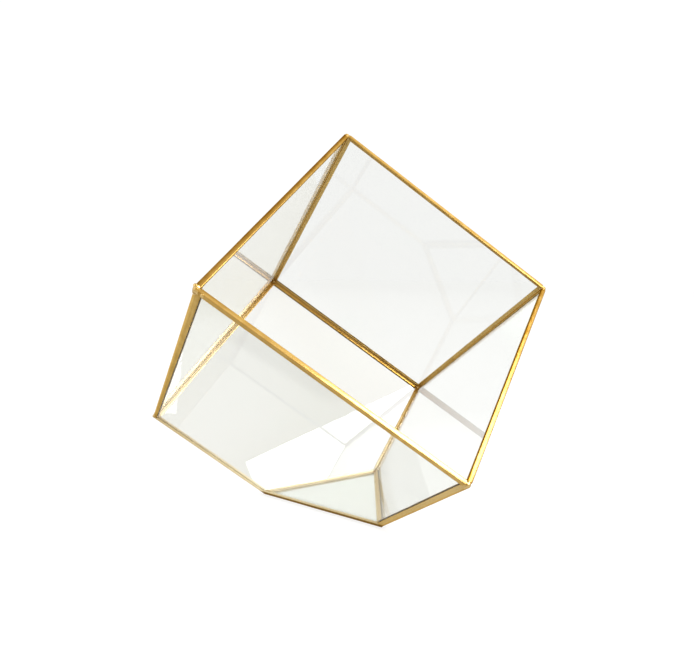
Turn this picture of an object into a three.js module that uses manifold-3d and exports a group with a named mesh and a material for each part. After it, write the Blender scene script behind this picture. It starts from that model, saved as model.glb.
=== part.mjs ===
// Brass-and-glass tabletop terrarium: a cube of glass panes held in folded brass strips,
// stood on one corner that is cut off flat, with the pane at the front left out as the mouth.
// Units are millimetres and +Z is up. The origin is the centre of the three-sided base,
// on the surface that the terrarium stands on. The mouth faces -Y, tilted up.

import * as THREE from 'three';
import { mergeVertices } from 'three/addons/utils/BufferGeometryUtils.js';
import Module from 'manifold-3d';

const wasm = await Module();
wasm.setup();

// Driving dimensions
const EDGE = 150;                            // full edge of the cube
const CORNER_CUT = EDGE * (Math.SQRT2 - 1);  // length that the base takes off three of the edges
const GLASS = 1.8;                           // thickness of the panes
const BRASS = 0.3;                           // thickness of the sheet that the strips are folded from
const FIT = 0.2;                             // play between the glass and the brass round it
const OUTER_LEAF = 3.8;                      // outside leaf of a corner strip, from the sharp corner
const INNER_LIP = 1.1;                       // inside lip of a corner strip, from its inside fold
const RIM_OUTER = 2.7;                       // outside leg of the channel round the mouth
const RIM_INNER = 1.8;                       // inside leg of that channel
const FOLD_RADIUS = 1.2;                     // outside fold of a corner strip
const RIM_RADIUS = 0.45;                     // outside folds of the mouth channel
const JOINT_GAP = 0.2;                       // play between pieces that meet at a corner
const TIP_TRIM = 3.3;                        // strip tips cut back under a solder dome
const DOME_RADIUS = 2.1;                     // solder dome on a closed corner, at its foot
const DOME_SHARE = 0.7;                      // height of the dome, of the tip cut off there
const DOME_PROUD = 0.15;                     // how far the dome stands out of the walls at most
const LUMP_RADIUS = 1.7;                     // solder lump in a corner of the mouth

// Sizes that follow from them
const WALL = GLASS + 2 * (BRASS + FIT);      // thickness of a glazed wall with its strip
const RIM_SETBACK = WALL + JOINT_GAP;        // mouth channel, back from the neighbouring wall
const CAME_SETBACK = RIM_OUTER + JOINT_GAP;  // corner strip, back from the plane of the mouth

const FOLD_STEPS = 4;                        // straight pieces in one rounded fold
const BEND_STEPS = 2;                        // the same on the inside of the fold, beside the web
const BEAD_STEPS = 20;                       // sides of a solder bead
const CUTTER = 2 * EDGE;                     // block that is larger than anything it trims

// Corners

// Turns cube coordinates, in edges from the corner that is cut off, into the part's frame:
// the cube's long diagonal through that corner becomes the vertical.
function corner(i, j, k) {
  const x = (k - i) / Math.sqrt(2);
  const y = (i - 2 * j + k) / Math.sqrt(6);
  const z = (i + j + k - CORNER_CUT / EDGE) / Math.sqrt(3);
  return new THREE.Vector3(x, y, z).multiplyScalar(EDGE);
}

const cutShare = CORNER_CUT / EDGE;

const corners = {
  top: corner(1, 1, 1),
  left: corner(1, 1, 0),
  right: corner(0, 1, 1),
  front: corner(0, 1, 0),
  back: corner(1, 0, 1),
  low_left: corner(1, 0, 0),
  low_right: corner(0, 0, 1),
  foot_left: corner(cutShare, 0, 0),
  foot_front: corner(0, cutShare, 0),
  foot_right: corner(0, 0, cutShare),
};

const centre = corner(0.5, 0.5, 0.5);

// Faces of the cube, each as its corners in order round it
const faces = {
  mouth: face('top', 'left', 'front', 'right'),
  upper_left: face('top', 'back', 'low_left', 'left'),
  upper_right: face('top', 'right', 'low_right', 'back'),
  lower_left: face('left', 'low_left', 'foot_left', 'foot_front', 'front'),
  lower_right: face('front', 'foot_front', 'foot_right', 'low_right', 'right'),
  lower_back: face('back', 'low_right', 'foot_right', 'foot_left', 'low_left'),
  base: face('foot_left', 'foot_right', 'foot_front'),
};

function face(...names) {
  const [a, b, c] = names.map((name) => corners[name]);
  const normal = b.clone().sub(a).cross(c.clone().sub(a)).normalize();
  if (normal.dot(centre.clone().sub(a)) > 0) {
    normal.negate();
    names.reverse();
  }
  return { names, normal };
}

// Edges: the node's name, its two corners, and the faces on its two sides.
// An edge of the mouth names its pane first.
const rimEdges = [
  ['rim_upper_left', 'top', 'left', 'upper_left', 'mouth'],
  ['rim_upper_right', 'top', 'right', 'upper_right', 'mouth'],
  ['rim_lower_left', 'left', 'front', 'lower_left', 'mouth'],
  ['rim_lower_right', 'right', 'front', 'lower_right', 'mouth'],
];

const cameEdges = [
  ['came_ridge', 'top', 'back', 'upper_left', 'upper_right'],
  ['came_left', 'left', 'low_left', 'upper_left', 'lower_left'],
  ['came_right', 'right', 'low_right', 'upper_right', 'lower_right'],
  ['came_back_left', 'back', 'low_left', 'upper_left', 'lower_back'],
  ['came_back_right', 'back', 'low_right', 'upper_right', 'lower_back'],
  ['came_leg_front', 'front', 'foot_front', 'lower_left', 'lower_right'],
  ['came_leg_left', 'low_left', 'foot_left', 'lower_left', 'lower_back'],
  ['came_leg_right', 'low_right', 'foot_right', 'lower_right', 'lower_back'],
  ['came_base_left', 'foot_left', 'foot_front', 'lower_left', 'base'],
  ['came_base_right', 'foot_right', 'foot_front', 'lower_right', 'base'],
  ['came_base_back', 'foot_left', 'foot_right', 'lower_back', 'base'],
];

const mouthCorners = faces.mouth.names;

// Finishes
const brass = { color: 0xb8862f, metalness: 1, roughness: 0.3 };
const solder = { color: 0xc29a4c, metalness: 1, roughness: 0.38 };
const glass = { color: 0xe6efec, metalness: 0, roughness: 0.05, transparent: true, opacity: 0.35 };

// Solids: a closed three.js geometry as a solid that can be cut, and back again

function toSolid(geometry) {
  const bare = geometry.clone();
  bare.deleteAttribute('normal');
  bare.deleteAttribute('uv');
  const merged = mergeVertices(bare, 1e-5);
  return new wasm.Manifold(new wasm.Mesh({
    numProp: 3,
    vertProperties: new Float32Array(merged.attributes.position.array),
    triVerts: new Uint32Array(merged.index.array),
  }));
}

function toGeometry(solid) {
  const mesh = solid.getMesh();
  const geometry = new THREE.BufferGeometry();
  geometry.setAttribute('position', new THREE.BufferAttribute(mesh.vertProperties, 3));
  geometry.setIndex(new THREE.BufferAttribute(mesh.triVerts, 1));
  geometry.computeVertexNormals();
  return geometry;
}

// Takes off what lies behind a plane, on the side that its normal points away from.
function trim(solid, plane) {
  const block = new THREE.BoxGeometry(CUTTER, CUTTER, CUTTER);
  block.translate(0, 0, -CUTTER / 2);
  const turn = new THREE.Quaternion().setFromUnitVectors(new THREE.Vector3(0, 0, 1), plane.normal);
  block.applyQuaternion(turn);
  const foot = plane.normal.clone().multiplyScalar(-plane.constant);
  block.translate(foot.x, foot.y, foot.z);
  return solid.subtract(toSolid(block));
}

// A plane through a corner, moved along its normal
function planeAt(cornerName, normal, shift) {
  const point = corners[cornerName].clone().addScaledVector(normal, shift);
  return new THREE.Plane().setFromNormalAndCoplanarPoint(normal, point);
}

// A local frame from its origin and its three axes
function frameOf(origin, xAxis, yAxis, zAxis) {
  return new THREE.Matrix4().makeBasis(xAxis, yAxis, zAxis).setPosition(origin);
}

function placedMesh(name, solid, frame, finish) {
  const mesh = new THREE.Mesh(toGeometry(solid), new THREE.MeshStandardMaterial(finish));
  mesh.name = name;
  mesh.applyMatrix4(frame);
  return mesh;
}

// Directions at the corners

// Unit vectors along the strips that leave a corner
function edgeDirections(cornerName) {
  const found = {};
  for (const [name, a, b] of [...rimEdges, ...cameEdges]) {
    if (a !== cornerName && b !== cornerName) continue;
    const other = a === cornerName ? b : a;
    found[name] = corners[other].clone().sub(corners[cornerName]).normalize();
  }
  return found;
}

// The faces that meet at a corner
function facesAt(cornerName) {
  return Object.values(faces).filter((one) => one.names.includes(cornerName));
}

// The small face left where the tips of the three strips of a corner are cut off.
// Its normal points into the terrarium.
function tipPlane(cornerName) {
  const origin = corners[cornerName];
  const points = Object.values(edgeDirections(cornerName))
    .map((along) => origin.clone().addScaledVector(along, TIP_TRIM));
  const plane = new THREE.Plane().setFromCoplanarPoints(...points);
  return plane.distanceToPoint(origin) > 0 ? plane.negate() : plane;
}

// Strips

// A local frame that runs along an edge: x into the first face, y into the terrarium
function edgeFrame(a, b, firstFace) {
  const yAxis = firstFace.normal.clone().negate();
  const along = corners[b].clone().sub(corners[a]).normalize();
  const xAxis = yAxis.clone().cross(along);
  const swapped = xAxis.dot(centre.clone().sub(corners[a])) < 0;
  if (swapped) {
    xAxis.negate();
    along.negate();
  }
  const [start, end] = swapped ? [b, a] : [a, b];
  return { start, end, frame: frameOf(corners[start], xAxis, yAxis, along) };
}

// Section of the channel that closes the free edge of a pane: x runs into the pane
function rimSection() {
  const shape = new THREE.Shape();
  shape.moveTo(RIM_RADIUS, 0);
  shape.lineTo(RIM_OUTER, 0);
  shape.lineTo(RIM_OUTER, BRASS);
  shape.lineTo(BRASS, BRASS);
  shape.lineTo(BRASS, WALL - BRASS);
  shape.lineTo(RIM_INNER, WALL - BRASS);
  shape.lineTo(RIM_INNER, WALL);
  shape.lineTo(RIM_RADIUS, WALL);
  shape.absarc(RIM_RADIUS, WALL - RIM_RADIUS, RIM_RADIUS, Math.PI / 2, Math.PI, false);
  shape.lineTo(0, RIM_RADIUS);
  shape.absarc(RIM_RADIUS, RIM_RADIUS, RIM_RADIUS, Math.PI, 1.5 * Math.PI, false);
  return shape;
}

// How far a web's side lies from the corner line, along the face, at a depth under that face
function webAt(depth, half) {
  return (BRASS / 2 + depth * Math.cos(half)) / Math.sin(half);
}

// Section of the strip that joins two panes at an inside angle: an outside leaf and an inside
// lip on each pane, with a web between the edges of the two panes
function cameSection(angle) {
  const half = angle / 2;
  const cot = 1 / Math.tan(half);
  const fold = new THREE.Vector2(FOLD_RADIUS * cot, FOLD_RADIUS);
  const innerFold = WALL * cot;

  // Inside of the fold, from the leaf round to the web
  const bend = FOLD_RADIUS - BRASS;
  const lastTurn = Math.PI + half + Math.asin(BRASS / 2 / bend);
  const inside = [];
  for (let i = 0; i <= BEND_STEPS; i += 1) {
    const turn = THREE.MathUtils.lerp(1.5 * Math.PI, lastTurn, i / BEND_STEPS);
    inside.push([fold.x + bend * Math.cos(turn), fold.y + bend * Math.sin(turn)]);
  }

  const side = [
    [OUTER_LEAF, 0],
    [OUTER_LEAF, BRASS],
    ...inside,
    [webAt(WALL - BRASS, half), WALL - BRASS],
    [innerFold + INNER_LIP, WALL - BRASS],
    [innerFold + INNER_LIP, WALL],
  ];
  const shape = new THREE.Shape();
  shape.moveTo(fold.x, 0);
  for (const [x, y] of side) shape.lineTo(x, y);
  shape.lineTo(innerFold, WALL);
  for (const [x, y] of side.reverse()) {
    shape.lineTo(x * Math.cos(angle) + y * Math.sin(angle), x * Math.sin(angle) - y * Math.cos(angle));
  }
  shape.lineTo(fold.x * Math.cos(angle), fold.x * Math.sin(angle));
  shape.absarc(fold.x, fold.y, FOLD_RADIUS, angle + Math.PI / 2, 1.5 * Math.PI, false);
  return shape;
}

function extrudeAlong(shape, length, startGap, endGap) {
  const depth = length - startGap - endGap;
  const geometry = new THREE.ExtrudeGeometry(shape, {
    depth,
    bevelEnabled: false,
    steps: 1,
    curveSegments: FOLD_STEPS,
  });
  geometry.translate(0, 0, startGap);
  return toSolid(geometry);
}

function rim([name, a, b, paneName]) {
  const { start, end, frame } = edgeFrame(a, b, faces[paneName]);
  const length = corners[start].distanceTo(corners[end]);
  const solid = extrudeAlong(rimSection(), length, RIM_SETBACK, RIM_SETBACK);
  return placedMesh(name, solid, frame, brass);
}

function came([name, a, b, firstName, secondName]) {
  const first = faces[firstName];
  const second = faces[secondName];
  const angle = Math.PI - first.normal.angleTo(second.normal);
  const { start, end, frame } = edgeFrame(a, b, first);
  const length = corners[start].distanceTo(corners[end]);
  const gaps = [start, end].map((one) => (mouthCorners.includes(one) ? CAME_SETBACK : 0));
  let solid = extrudeAlong(cameSection(angle), length, ...gaps);

  const toLocal = frame.clone().invert();
  for (const one of [start, end]) {
    if (mouthCorners.includes(one)) continue;
    for (const plane of mitrePlanes(one, name)) solid = trim(solid, plane.applyMatrix4(toLocal));
  }
  return placedMesh(name, solid, frame, brass);
}

// Planes that mitre one strip against the others at a closed corner and cut its tip off
function mitrePlanes(cornerName, name) {
  const directions = edgeDirections(cornerName);
  const own = directions[name];
  const planes = Object.keys(directions)
    .filter((other) => other !== name)
    .map((other) => own.clone().sub(directions[other]).normalize())
    .map((normal) => planeAt(cornerName, normal, JOINT_GAP / 2));
  planes.push(tipPlane(cornerName));
  return planes;
}

// Panes

// How far a pane's edge stays back from the corner line where two glazed walls meet
function webClearance(first, second) {
  const half = (Math.PI - first.normal.angleTo(second.normal)) / 2;
  return webAt(WALL - BRASS - FIT, half) + FIT / Math.sin(half);
}

// The same for any edge of a pane, by the strip that holds it
function paneInset(a, b) {
  const match = ([, p, q]) => [p, q].includes(a) && [p, q].includes(b);
  if (rimEdges.some(match)) return BRASS + FIT;
  const [, , , first, second] = cameEdges.find(match);
  return webClearance(faces[first], faces[second]);
}

function pane(name, faceName) {
  const { names, normal } = faces[faceName];
  const origin = corners[names[0]];
  const xAxis = corners[names[1]].clone().sub(origin).normalize();
  const yAxis = normal.clone().cross(xAxis);
  const frame = frameOf(origin, xAxis, yAxis, normal);
  const toLocal = frame.clone().invert();

  // The sides as lines moved into the face, and the pane's corners where they cross
  const sides = names.map((here, i) => {
    const next = names[(i + 1) % names.length];
    const from = corners[here].clone().applyMatrix4(toLocal);
    const along = corners[next].clone().applyMatrix4(toLocal).sub(from).normalize();
    const inset = paneInset(here, next);
    return { point: new THREE.Vector2(from.x - along.y * inset, from.y + along.x * inset), along };
  });
  const outline = sides.map((side, i) => crossing(sides[(i + sides.length - 1) % sides.length], side));

  const sheet = new THREE.ExtrudeGeometry(new THREE.Shape(outline), { depth: GLASS, bevelEnabled: false });
  sheet.translate(0, 0, -(BRASS + FIT + GLASS));
  return placedMesh(name, toSolid(sheet), frame, glass);
}

// Where two lines cross, each given by a point and a direction
function crossing(p, q) {
  const across = p.along.x * q.along.y - p.along.y * q.along.x;
  const reach = ((q.point.x - p.point.x) * q.along.y - (q.point.y - p.point.y) * q.along.x) / across;
  return new THREE.Vector2(p.point.x + p.along.x * reach, p.point.y + p.along.y * reach);
}

// Solder

// A dome on the cut-back tips of the three strips of a closed corner. It stands a little
// out of the walls, but never below the base.
function solderDome(cornerName) {
  const seat = tipPlane(cornerName);
  const tipDepth = -seat.distanceToPoint(corners[cornerName]);
  const height = DOME_SHARE * tipDepth;
  const radius = (DOME_RADIUS ** 2 + height ** 2) / (2 * height);
  const middle = corners[cornerName].clone().addScaledVector(seat.normal, tipDepth - height + radius);
  const frame = new THREE.Matrix4().makeTranslation(middle);
  const toLocal = frame.clone().invert();
  let solid = toSolid(new THREE.SphereGeometry(radius, BEAD_STEPS, BEAD_STEPS / 2));

  const foot = seat.clone().negate();
  foot.constant -= JOINT_GAP;
  solid = trim(solid, foot.applyMatrix4(toLocal));
  for (const one of facesAt(cornerName)) {
    const proud = one === faces.base ? 0 : DOME_PROUD;
    const wall = planeAt(cornerName, one.normal.clone().negate(), -proud);
    solid = trim(solid, wall.applyMatrix4(toLocal));
  }
  return placedMesh(`solder_${cornerName}`, solid, frame, solder);
}

// A round lump in the square notch that the strips leave free at a corner of the mouth,
// touching the three outside planes there and cut flat where the panes and the strips begin
function solderLump(cornerName) {
  const walls = facesAt(cornerName).filter((one) => one !== faces.mouth);
  const reach = webClearance(...walls) - JOINT_GAP;
  const depths = new Map([[faces.mouth, RIM_OUTER], [walls[0], reach], [walls[1], reach]]);
  const middle = corners[cornerName].clone();
  for (const one of depths.keys()) middle.addScaledVector(one.normal, -LUMP_RADIUS);
  const frame = new THREE.Matrix4().makeTranslation(middle);
  const toLocal = frame.clone().invert();
  let solid = toSolid(new THREE.SphereGeometry(LUMP_RADIUS, BEAD_STEPS, BEAD_STEPS / 2));
  for (const [one, depth] of depths) {
    solid = trim(solid, planeAt(cornerName, one.normal.clone(), -depth).applyMatrix4(toLocal));
  }
  return placedMesh(`solder_${cornerName}`, solid, frame, solder);
}

// The terrarium
const terrarium = new THREE.Group();
for (const faceName of Object.keys(faces)) {
  if (faceName !== 'mouth') terrarium.add(pane(`pane_${faceName}`, faceName));
}
for (const edge of rimEdges) terrarium.add(rim(edge));
for (const edge of cameEdges) terrarium.add(came(edge));
for (const cornerName of Object.keys(corners)) {
  const bead = mouthCorners.includes(cornerName) ? solderLump : solderDome;
  terrarium.add(bead(cornerName));
}

export default terrarium;
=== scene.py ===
"""Glass cube terrarium: its brass, its solder, its glass and a studio for it.

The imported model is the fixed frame. This file lays folded brass strips and solder over it,
gives the glass and the metal their materials, and sets up a pale floor, soft light and a
camera. It is laid out as an add-on and run as a script.
"""

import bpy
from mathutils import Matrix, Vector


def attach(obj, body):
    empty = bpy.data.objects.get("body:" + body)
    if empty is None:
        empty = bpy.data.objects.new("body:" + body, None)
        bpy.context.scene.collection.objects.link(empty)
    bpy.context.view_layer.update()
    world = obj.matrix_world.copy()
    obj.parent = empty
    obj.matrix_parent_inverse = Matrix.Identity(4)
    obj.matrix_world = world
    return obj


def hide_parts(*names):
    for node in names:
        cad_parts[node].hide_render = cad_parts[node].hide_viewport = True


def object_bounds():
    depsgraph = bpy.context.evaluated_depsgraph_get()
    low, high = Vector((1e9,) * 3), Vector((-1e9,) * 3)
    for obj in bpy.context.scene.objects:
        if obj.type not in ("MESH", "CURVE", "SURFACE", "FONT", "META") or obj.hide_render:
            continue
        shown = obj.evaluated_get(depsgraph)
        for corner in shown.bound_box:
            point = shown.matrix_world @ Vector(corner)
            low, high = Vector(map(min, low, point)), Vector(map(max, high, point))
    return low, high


bl_info = {
    "name": "Glass cube terrarium",
    "version": (1, 0, 0),
    "blender": (4, 5, 0),
    "location": "3D View > Sidebar > Terrarium",
    "description": "Brass strips, solder, glass and a studio for the glass cube terrarium",
    "category": "Object",
}

import math

import bmesh
import bpy
from bpy.props import FloatProperty, FloatVectorProperty, IntProperty, PointerProperty
from mathutils import Euler, Matrix, Vector, noise

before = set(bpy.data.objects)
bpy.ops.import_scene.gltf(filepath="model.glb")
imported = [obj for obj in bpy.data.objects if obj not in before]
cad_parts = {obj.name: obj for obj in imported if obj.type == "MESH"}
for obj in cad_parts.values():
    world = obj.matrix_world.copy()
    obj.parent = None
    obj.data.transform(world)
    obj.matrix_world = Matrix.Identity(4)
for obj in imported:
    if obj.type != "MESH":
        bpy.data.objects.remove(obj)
CAD_BOX = [list(corner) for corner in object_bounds()]

# The cube: its corners, walls and edges, as shares of the full edge

BASE_CUT = math.sqrt(2) - 1

CORNER_SHARES = {
    "top": (1, 1, 1),
    "left": (1, 1, 0),
    "right": (0, 1, 1),
    "front": (0, 1, 0),
    "back": (1, 0, 1),
    "low_left": (1, 0, 0),
    "low_right": (0, 0, 1),
    "foot_left": (BASE_CUT, 0, 0),
    "foot_front": (0, BASE_CUT, 0),
    "foot_right": (0, 0, BASE_CUT),
}

WALLS = {
    "mouth": ("top", "left", "front", "right"),
    "upper_left": ("top", "back", "low_left", "left"),
    "upper_right": ("top", "right", "low_right", "back"),
    "lower_left": ("left", "low_left", "foot_left", "foot_front", "front"),
    "lower_right": ("front", "foot_front", "foot_right", "low_right", "right"),
    "lower_back": ("back", "low_right", "foot_right", "foot_left", "low_left"),
    "base": ("foot_left", "foot_right", "foot_front"),
}

# Channels round the mouth: name, two corners, the wall whose pane they hold
RIMS = (
    ("rim_upper_left", "top", "left", "upper_left"),
    ("rim_upper_right", "top", "right", "upper_right"),
    ("rim_lower_left", "left", "front", "lower_left"),
    ("rim_lower_right", "right", "front", "lower_right"),
)

# Corner strips: name, two corners, the two walls that they join
CORNER_STRIPS = (
    ("came_ridge", "top", "back", "upper_left", "upper_right"),
    ("came_left", "left", "low_left", "upper_left", "lower_left"),
    ("came_right", "right", "low_right", "upper_right", "lower_right"),
    ("came_back_left", "back", "low_left", "upper_left", "lower_back"),
    ("came_back_right", "back", "low_right", "upper_right", "lower_back"),
    ("came_leg_front", "front", "foot_front", "lower_left", "lower_right"),
    ("came_leg_left", "low_left", "foot_left", "lower_left", "lower_back"),
    ("came_leg_right", "low_right", "foot_right", "lower_right", "lower_back"),
    ("came_base_left", "foot_left", "foot_front", "lower_left", "base"),
    ("came_base_right", "foot_right", "foot_front", "lower_right", "base"),
    ("came_base_back", "foot_left", "foot_right", "lower_back", "base"),
)

# How tarnished each strip is at its first and at its second corner: 0 bare, 1 brown. Below
# 0 its streaks are paler too.
PATINA = {
    "rim_upper_left": (0.60, 0.38),
    "rim_upper_right": (0.18, 0.32),
    "rim_lower_left": (0.14, -0.10),
    "rim_lower_right": (0.38, 0.10),
    "came_ridge": (-0.05, 0.00),
    "came_left": (0.10, 0.34),
    "came_right": (-0.05, 0.04),
    "came_back_left": (0.50, 0.08),
    "came_back_right": (-0.15, 0.14),
    "came_leg_front": (0.00, 0.15),
    "came_leg_left": (0.40, 0.00),
    "came_leg_right": (0.20, 0.32),
    "came_base_left": (0.35, 0.35),
    "came_base_right": (0.05, 0.05),
    "came_base_back": (0.05, 0.05),
}

# How much browner a channel is on its outside leg and on its inside leg, and a corner
# strip on its first wall and on its second. This is painted shade: the browner side stands
# in for the darker room that it mirrors.
SIDE_SHADE = {
    "rim_upper_left": (0.35, -0.12),
    "rim_upper_right": (-0.35, 0.22),
    "rim_lower_left": (0.15, 0.0),
    "rim_lower_right": (-0.10, 0.75),
    "came_back_left": (0.0, 0.25),
    "came_back_right": (0.02, 0.62),
}

# How far solder ran along a strip from its first and its second corner: 0 none, 1 all over
TINNED = {
    "came_leg_front": (0.15, 0.08),
    "came_back_left": (0.0, 0.55),
    "came_leg_left": (0.35, 0.75),
    "came_leg_right": (0.0, 0.45),
    "came_base_left": (0.60, 0.42),
    "came_base_right": (0.40, 0.40),
    "came_base_back": (0.55, 0.55),
}

# Outside leaf and inside lip at a strip's first and second corner, as shares of the sizes
WIDTHS = {
    "came_ridge": ((1.25, 1.25), (2.0, 2.0)),
    "came_left": ((1.24, 0.82), (2.0, 1.0)),
    "came_right": ((1.22, 1.18), (1.9, 1.8)),
    "came_back_left": ((1.22, 1.26), (2.0, 2.0)),
    "came_back_right": ((1.26, 1.24), (2.0, 2.0)),
    "came_leg_front": ((1.08, 1.05), (1.4, 1.4)),
    "came_base_left": ((1.25, 1.25), (1.2, 1.2)),
    "came_base_right": ((1.15, 1.15), (1.6, 1.6)),
    "came_leg_right": ((1.10, 1.05), (1.5, 1.5)),
}

# A strip whose fold was hammered flatter: how far, and how deep that reaches
FLATTENED = {"came_left": (0.0010, 0.0019)}

# How much wider a strip is on its first wall than on its second
LEAN = {"came_base_right": 1.5}

MOUTH = WALLS["mouth"]
PANES = tuple(f"pane_{wall}" for wall in WALLS if wall != "mouth")


# Settings


class TerrariumSizes(bpy.types.PropertyGroup):
    """Sizes of the strips and the solder."""

    edge: FloatProperty(
        name="Cube edge",
        description="Full edge of the cube, from sharp corner to sharp corner",
        default=0.150,
        unit="LENGTH",
    )
    wall: FloatProperty(
        name="Wall",
        description="Thickness of a glazed wall with its strip",
        default=0.0028,
        unit="LENGTH",
    )
    sheet: FloatProperty(
        name="Sheet",
        description="Thickness of the brass sheet",
        default=0.0003,
        unit="LENGTH",
    )
    outer_leaf: FloatProperty(
        name="Outside leaf",
        description="Outside leaf of a corner strip, from the sharp corner",
        default=0.0038,
        unit="LENGTH",
    )
    inner_lip: FloatProperty(
        name="Inside lip",
        description="Inside lip of a corner strip, from its inside fold",
        default=0.0011,
        unit="LENGTH",
    )
    rim_outer: FloatProperty(
        name="Channel, outside leg",
        description="Outside leg of the channel round the mouth",
        default=0.0027,
        unit="LENGTH",
    )
    rim_inner: FloatProperty(
        name="Channel, inside leg",
        description="Inside leg of the channel round the mouth",
        default=0.0018,
        unit="LENGTH",
    )
    fold: FloatProperty(
        name="Fold",
        description="Radius of the outside fold of a corner strip",
        default=0.0012,
        unit="LENGTH",
    )
    unevenness: FloatProperty(
        name="Unevenness",
        description="How far a strip wanders from straight where a hand bent it",
        default=0.00006,
        unit="LENGTH",
    )
    fold_steps: IntProperty(
        name="Fold steps",
        description="Straight pieces in the rounded outside fold of a strip",
        default=7,
        min=2,
    )
    joint_gap: FloatProperty(
        name="Joint gap",
        description="Play between strips that meet at a corner",
        default=0.0002,
        unit="LENGTH",
    )


class TerrariumFinish(bpy.types.PropertyGroup):
    """Colours of the metal and the glass."""

    brass: FloatVectorProperty(
        name="Brass",
        description="Bare brass of the strips",
        subtype="COLOR",
        size=3,
        default=(0.54, 0.375, 0.14),
    )
    # The tarnish colour is also that of the painted shade on one side of some strips
    tarnish: FloatVectorProperty(
        name="Tarnish",
        description="Darker, redder brass in the streaks and beside the solder",
        subtype="COLOR",
        size=3,
        default=(0.23, 0.115, 0.012),
    )
    # Painted shade: the near-black brown given to the folds that rest on the table, where
    # shade falls
    painted_contact_shade: FloatVectorProperty(
        name="Contact shade",
        description="Near-black brown of the folds that rest on the table",
        subtype="COLOR",
        size=3,
        default=(0.09, 0.035, 0.006),
    )
    tin: FloatVectorProperty(
        name="Tinned brass",
        description="Pale skin where solder ran along a strip",
        subtype="COLOR",
        size=3,
        default=(0.86, 0.79, 0.57),
    )
    solder: FloatVectorProperty(
        name="Solder",
        description="Brass-coloured solder of the beads",
        subtype="COLOR",
        size=3,
        default=(0.64, 0.46, 0.20),
    )
    glass: FloatVectorProperty(
        name="Glass",
        description="Tint of one pane",
        subtype="COLOR",
        size=3,
        default=(0.87, 0.878, 0.865),
    )


class TerrariumStudio(bpy.types.PropertyGroup):
    """Floor, light and camera."""

    floor: FloatVectorProperty(
        name="Floor",
        description="Colour of the floor",
        subtype="COLOR",
        size=3,
        default=(0.975, 0.975, 0.97),
    )
    backdrop: FloatProperty(
        name="Backdrop",
        description="Brightness of the white all round",
        default=1.04,
    )
    lamp: FloatProperty(
        name="Lamp",
        description="Strength of the broad lamp over the floor",
        default=0.9,
        unit="POWER",
    )


def sizes():
    return bpy.context.scene.terrarium_sizes


def finish_colours():
    return bpy.context.scene.terrarium_finish


def studio():
    return bpy.context.scene.terrarium_studio


# New objects


def add_object(name, data):
    """A new object in the scene."""
    added = bpy.data.objects.new(name, data)
    bpy.context.scene.collection.objects.link(added)
    return added


def mesh_object(bm, name):
    """A new object in the scene with a finished shape."""
    mesh = bpy.data.meshes.new(name)
    bm.to_mesh(mesh)
    bm.free()
    return add_object(name, mesh)


# Geometry of the cube


def corner(name):
    """A sharp corner of the cube in the part's frame, in metres."""
    i, j, k = CORNER_SHARES[name]
    x = (k - i) / math.sqrt(2)
    y = (i - 2 * j + k) / math.sqrt(6)
    z = (i + j + k - BASE_CUT) / math.sqrt(3)
    return Vector((x, y, z)) * sizes().edge


def outward(wall):
    """The outward normal of a wall."""
    a, b, c = (corner(name) for name in WALLS[wall][:3])
    normal = (b - a).cross(c - a).normalized()
    inside = (corner("left") + corner("low_right")) / 2
    return -normal if normal.dot(inside - a) > 0 else normal


def walls_at(name):
    return [wall for wall in WALLS if name in WALLS[wall]]


def edges_from(name):
    """Unit vectors along the strips that leave a corner, by strip."""
    found = {}
    for strip in RIMS + CORNER_STRIPS:
        a, b = strip[1], strip[2]
        if name in (a, b):
            other = b if name == a else a
            found[strip[0]] = (corner(other) - corner(name)).normalized()
    return found


def strip_place(a, b, first_wall):
    """A local frame along an edge: x into the first wall, y into the terrarium, z along."""
    inward = -outward(first_wall)
    along = (corner(b) - corner(a)).normalized()
    across = inward.cross(along)
    middle = (corner("left") + corner("low_right")) / 2
    if across.dot(middle - corner(a)) < 0:
        a, b = b, a
        across, along = -across, -along
    place = Matrix((across, inward, along)).transposed().to_4x4()
    place.translation = corner(a)
    return place, a, b


# Sheet metal

RING = 0.0022  # spacing of the rings along a strip
HEM = 0.00013  # rounding of a sheet's cut edge
WIDE_BEND = 0.0004  # a rounding wider than this is made with all its steps
CHANNEL_FOLD = 0.00045  # outside folds of a channel
CHANNEL_STEPS = 5
INSIDE_BEND = 0.0001  # bends inside a channel
LEAF_BEND = 0.0003  # where a leaf turns into the web, and
LIP_BEND = 0.00008  # where the web turns into a lip
CREASE = 0.00045  # inside fold of a corner strip
PRESS = 0.00018  # how far the free edge of a leg, leaf or lip is pressed on the glass
LEG_PRESSED, LEAF_PRESSED, LIP_PRESSED = 0.6, 0.62, 0.7  # and where along them it begins
SUNK = 0.00004  # how much deeper a corner strip lies than the channels
WEB_ROOM = 0.0001  # from the web's face to where a leaf's bend is set out
COVERED = 0.6  # share of a channel's inside leg that hides a corner strip's end
MITRE_GAP = 0.25  # share of the joint gap that each strip leaves free at a mitre
LEAF_FOOT = 0.5  # share of a leaf that doesn't widen as a strip does
FIXED_FOOT = 0.0003  # and what of a leaf or lip lies this near doesn't either
MERGED = 1e-7  # points this near are one
SHARP_FROM = math.radians(42)  # folds sharper than this show an edge

# How strips are uneven: waves in a metre, and share of the unevenness or of the width
SWAY = (42, 0.9)
RIPPLE = (160, 0.35)
RAGGED_HEM = (90, 0.02)
CHANNEL_STEADY, STRIP_STEADY = 0.6, 0.7  # shares of the wall within which hems are even

HEATED = 0.012  # how far the soldering heat reached along a strip
HEAT_TARNISH = 0.45  # and how much browner it made the brass
FOLD_LINE = 0.00015  # a face this near the middle of a fold counts to the first wall
NOISE_SEED = 4  # without a seed of its own the noise would differ from run to run
# Where each piece's own noise lies: the first one's place, and the step to the next
RIM_NOISE, STRIP_NOISE, BEAD_NOISE = (0, 3.1), (20, 2.7), (0, 5.9)


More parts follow.
